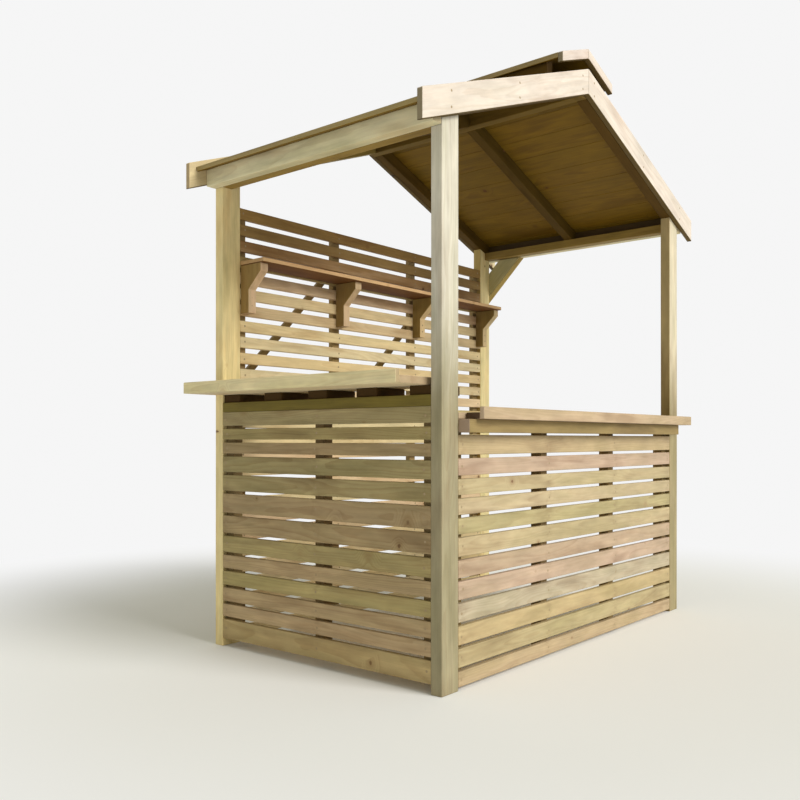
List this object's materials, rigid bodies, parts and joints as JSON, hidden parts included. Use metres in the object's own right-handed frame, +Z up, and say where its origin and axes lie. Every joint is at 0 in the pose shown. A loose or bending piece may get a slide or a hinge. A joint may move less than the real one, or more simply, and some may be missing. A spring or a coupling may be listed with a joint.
{
  "type": "outdoor garden bar",
  "caption": "Garden bar: gabled board roof with raised ridge cap on posts, slatted front, side and back panels, two serving counters, a back shelf, and one open side to walk in.",
  "frame": {"origin": "middle of the bounding box in plan, at the ground plane under the posts' feet", "axes": "+Z up, -Y towards the guest at the low front counter, -X towards the guest at the high side counter, +X the open side"},
  "size_m": [2.184, 1.237, 2.3922],
  "materials": {
    "frame_timber": "planed softwood, treated",
    "cladding": "planed softwood, treated",
    "counter_timber": "planed softwood, treated",
    "roof_boards": "sawn softwood, treated",
    "fascia_boards": "planed softwood, treated",
    "shelf_timber": "planed softwood, treated"
  },
  "bodies": {
    "root": {"back_brace_left": "frame_timber", "back_brace_right": "frame_timber", "back_panel": "cladding", "bargeboard_back_left": "fascia_boards", "bargeboard_back_right": "fascia_boards", "bargeboard_front_left": "fascia_boards", "bargeboard_front_right": "fascia_boards", "cap_batten_left": "frame_timber", "cap_batten_right": "frame_timber", "cap_board_left": "roof_boards", "cap_board_right": "roof_boards", "cap_trim_back_left": "fascia_boards", "cap_trim_back_right": "fascia_boards", "cap_trim_front_left": "fascia_boards", "cap_trim_front_right": "fascia_boards", "eave_beam_left": "frame_timber", "eave_beam_right": "frame_timber", "eave_plate_left": "frame_timber", "eave_plate_right": "frame_timber", "front_counter_boards": "counter_timber", "front_counter_edge": "counter_timber", "front_counter_rail": "counter_timber", "front_panel": "cladding", "knee_brace": "frame_timber", "left_counter_boards": "counter_timber", "left_counter_edge": "counter_timber", "left_counter_supports": "counter_timber", "left_panel": "cladding", "left_top_rail": "counter_timber", "post_back_left": "frame_timber", "post_back_right": "frame_timber", "post_front_left": "frame_timber", "post_front_right": "frame_timber", "rafter_back_left": "frame_timber", "rafter_back_right": "frame_timber", "rafter_front_left": "frame_timber", "rafter_front_right": "frame_timber", "rafter_middle_left": "frame_timber", "rafter_middle_right": "frame_timber", "ridge_beam": "frame_timber", "roof_boards_left": "roof_boards", "roof_boards_right": "roof_boards", "shelf": "shelf_timber", "shelf_brackets": "shelf_timber"}
  },
  "joints": []
}
